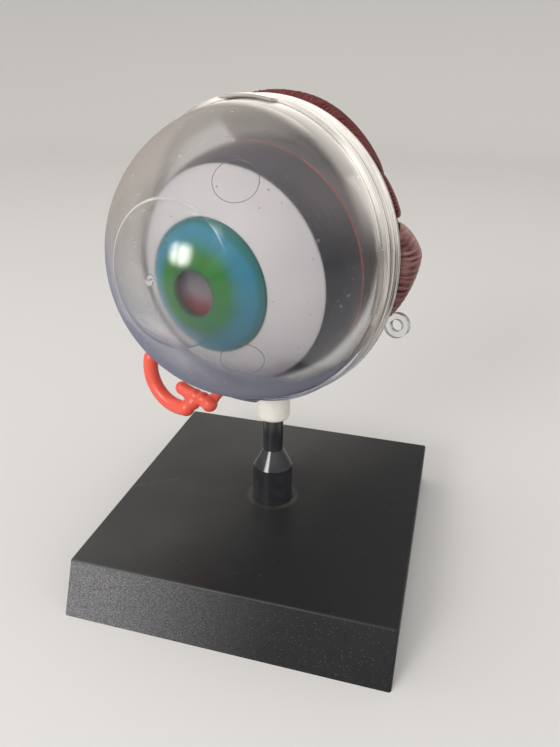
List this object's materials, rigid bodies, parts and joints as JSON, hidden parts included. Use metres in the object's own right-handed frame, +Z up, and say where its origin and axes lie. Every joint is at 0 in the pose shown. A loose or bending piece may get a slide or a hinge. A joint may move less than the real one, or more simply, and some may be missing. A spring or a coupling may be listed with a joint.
{
  "type": "eye anatomy model",
  "caption": "Take-apart teaching model of a human eye: clear globe with nested eye layers and plug-on muscles, turning on a post above a square plinth.",
  "frame": {"origin": "underside of the plinth, on the post's axis", "axes": "+Z up along the post, -Y towards the plinth's sloped front face, +X to the viewer's right; the eye looks 16 degrees to the left of -Y"},
  "size_m": [0.092, 0.1, 0.1366],
  "materials": {
    "black_plastic": "satin, fine grain on the sloped front",
    "black_gloss": "smooth gloss",
    "white_plastic": "smooth, slightly warm white",
    "clear_shell": "clear, polished",
    "clear_body": "clear, polished",
    "clear_lens": "clear, polished",
    "choroid": "dark, satin",
    "retina": "orange red, satin",
    "ciliary": "dark brown, matte",
    "sclera": "white, satin",
    "iris": "blue outside, green towards the pupil, gloss",
    "nerve": "pale yellow, satin",
    "brown_muscle": "brown red with moulded fibres, satin",
    "red_muscle": "bright red, gloss"
  },
  "bodies": {
    "stand": {"base": "black_plastic"},
    "post": {"post": "black_gloss"},
    "sleeve": {"sleeve": "white_plastic"},
    "globe": {"rear_shell": "clear_shell"},
    "front_shell": {"front_shell": "clear_shell"},
    "choroid_cup": {"choroid_cup": "choroid"},
    "retina": {"retina": "retina"},
    "vitreous_body": {"vitreous_body": "clear_body"},
    "choroid_ring": {"choroid_ring": "choroid"},
    "ciliary_body": {"ciliary_body": "ciliary"},
    "lens": {"lens": "clear_lens"},
    "sclera_dome": {"sclera_dome": "sclera"},
    "iris": {"iris": "iris"},
    "superior_rectus": {"superior_rectus": "brown_muscle"},
    "lateral_rectus": {"lateral_rectus": "brown_muscle"},
    "medial_rectus": {"medial_rectus": "brown_muscle"},
    "inferior_rectus": {"inferior_rectus": "brown_muscle"},
    "superior_oblique": {"superior_oblique": "brown_muscle"},
    "inferior_oblique": {"inferior_oblique": "red_muscle"},
    "optic_nerve": {"optic_nerve": "nerve"}
  },
  "joints": [
    {"name": "post_lift", "type": "slide", "parent": "stand", "child": "post", "axis": [0, 0, 1], "range_m": [0, 0.012]},
    {"name": "globe_turn", "type": "hinge", "parent": "post", "child": "sleeve", "pos_m": [0, 0, 0.05], "axis": [0, 0, 1], "continuous": true},
    {"name": "globe_lift", "type": "slide", "parent": "sleeve", "child": "globe", "axis": [0, 0, 1], "range_m": [0, 0.01]},
    {"name": "front_shell_pull", "type": "slide", "parent": "globe", "child": "front_shell", "axis": [-0.2748, -0.9583, 0.0785], "range_m": [0, 0.13]},
    {"name": "choroid_cup_slide", "type": "slide", "parent": "globe", "child": "choroid_cup", "axis": [-0.2755, -0.9607, -0.0349], "range_m": [0, 0.0105]},
    {"name": "retina_slide", "type": "slide", "parent": "globe", "child": "retina", "axis": [-0.2755, -0.9607, -0.0349], "range_m": [0, 0.0209]},
    {"name": "vitreous_body_slide", "type": "slide", "parent": "globe", "child": "vitreous_body", "axis": [-0.2755, -0.9607, -0.0349], "range_m": [0, 0.0391]},
    {"name": "choroid_ring_slide", "type": "slide", "parent": "globe", "child": "choroid_ring", "axis": [-0.2755, -0.9607, -0.0349], "range_m": [0, 0.0547]},
    {"name": "ciliary_body_slide", "type": "slide", "parent": "globe", "child": "ciliary_body", "axis": [-0.2755, -0.9607, -0.0349], "range_m": [0, 0.0677]},
    {"name": "lens_slide", "type": "slide", "parent": "globe", "child": "lens", "axis": [-0.2755, -0.9607, -0.0349], "range_m": [0, 0.0807]},
    {"name": "sclera_dome_slide", "type": "slide", "parent": "globe", "child": "sclera_dome", "axis": [-0.2755, -0.9607, -0.0349], "range_m": [0, 0.0963]},
    {"name": "iris_slide", "type": "slide", "parent": "globe", "child": "iris", "axis": [-0.2755, -0.9607, -0.0349], "range_m": [0, 0.1119]},
    {"name": "superior_rectus_unplug", "type": "slide", "parent": "globe", "child": "superior_rectus", "axis": [0.2772, 0.5386, 0.7956], "range_m": [0, 0.01]},
    {"name": "lateral_rectus_unplug", "type": "slide", "parent": "globe", "child": "lateral_rectus", "axis": [0.9759, 0.215, -0.0374], "range_m": [0, 0.01]},
    {"name": "medial_rectus_unplug", "type": "slide", "parent": "globe", "child": "medial_rectus", "axis": [-0.7137, 0.6995, -0.0374], "range_m": [0, 0.01]},
    {"name": "inferior_rectus_unplug", "type": "slide", "parent": "globe", "child": "inferior_rectus", "axis": [0.1844, 0.6432, -0.7431], "range_m": [0, 0.01]},
    {"name": "superior_oblique_unplug", "type": "slide", "parent": "globe", "child": "superior_oblique", "axis": [0.882, 0.182, 0.4347], "range_m": [0, 0.01]},
    {"name": "inferior_oblique_unplug", "type": "slide", "parent": "globe", "child": "inferior_oblique", "axis": [-0.1952, 0.2304, -0.9533], "range_m": [0, 0.01]},
    {"name": "optic_nerve_unplug", "type": "slide", "parent": "globe", "child": "optic_nerve", "axis": [0.2755, 0.9607, 0.0349], "range_m": [0, 0.02]}
  ],
  "couplings": [
    {"joint": "choroid_cup_slide", "follows": "front_shell_pull", "ratio": 0.08},
    {"joint": "retina_slide", "follows": "front_shell_pull", "ratio": 0.16},
    {"joint": "vitreous_body_slide", "follows": "front_shell_pull", "ratio": 0.3},
    {"joint": "choroid_ring_slide", "follows": "front_shell_pull", "ratio": 0.42},
    {"joint": "ciliary_body_slide", "follows": "front_shell_pull", "ratio": 0.52},
    {"joint": "lens_slide", "follows": "front_shell_pull", "ratio": 0.62},
    {"joint": "sclera_dome_slide", "follows": "front_shell_pull", "ratio": 0.74},
    {"joint": "iris_slide", "follows": "front_shell_pull", "ratio": 0.86}
  ]
}
